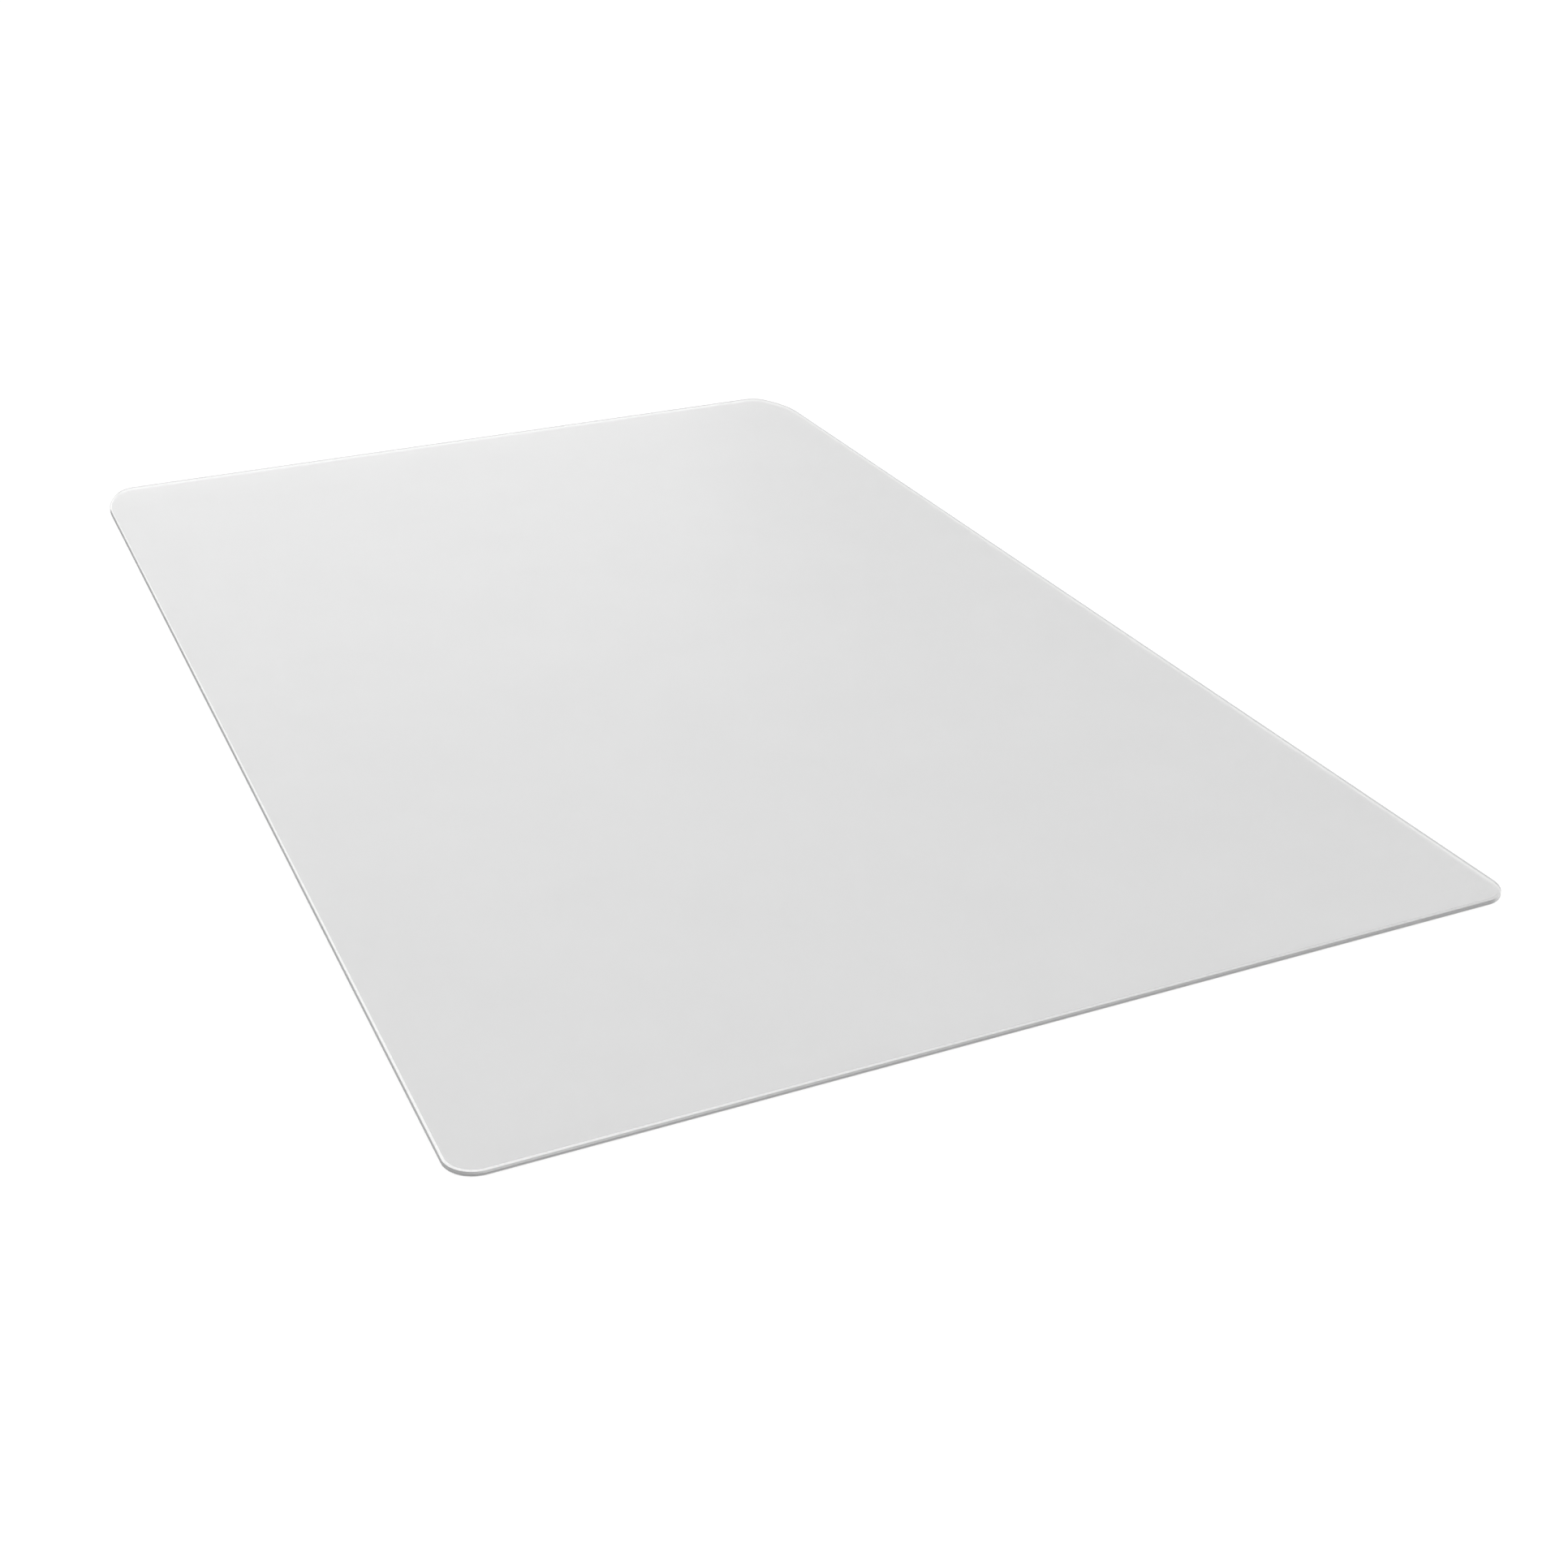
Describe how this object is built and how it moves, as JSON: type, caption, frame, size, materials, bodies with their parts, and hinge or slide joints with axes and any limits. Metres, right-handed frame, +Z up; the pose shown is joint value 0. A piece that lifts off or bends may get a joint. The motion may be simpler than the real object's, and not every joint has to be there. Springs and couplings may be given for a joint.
{
  "type": "chair mat",
  "caption": "Thin see-through rectangular chair mat for hard floors, with rounded corners, a bevelled upper rim, a matt rolling face and an anti-slip underside.",
  "frame": {"origin": "centre of the underside, on the floor", "axes": "+X across the mat, +Y from the front edge to the back edge, whose two corners sweep in further, +Z up"},
  "size_m": [0.9144, 1.524, 0.0046],
  "materials": {
    "wear_film": "fine matt, hard wearing",
    "clear_sheet": "clear, with a polished bevel",
    "adhesive": "clear cured adhesive",
    "base_sheet": "satin, saw-cut edge",
    "grip_backing": "soft, fine grip texture"
  },
  "bodies": {
    "root": {"wear_film": "wear_film", "top_sheet": "clear_sheet", "bond_film": "adhesive", "base_sheet": "base_sheet", "grip_backing": "grip_backing"}
  },
  "joints": []
}
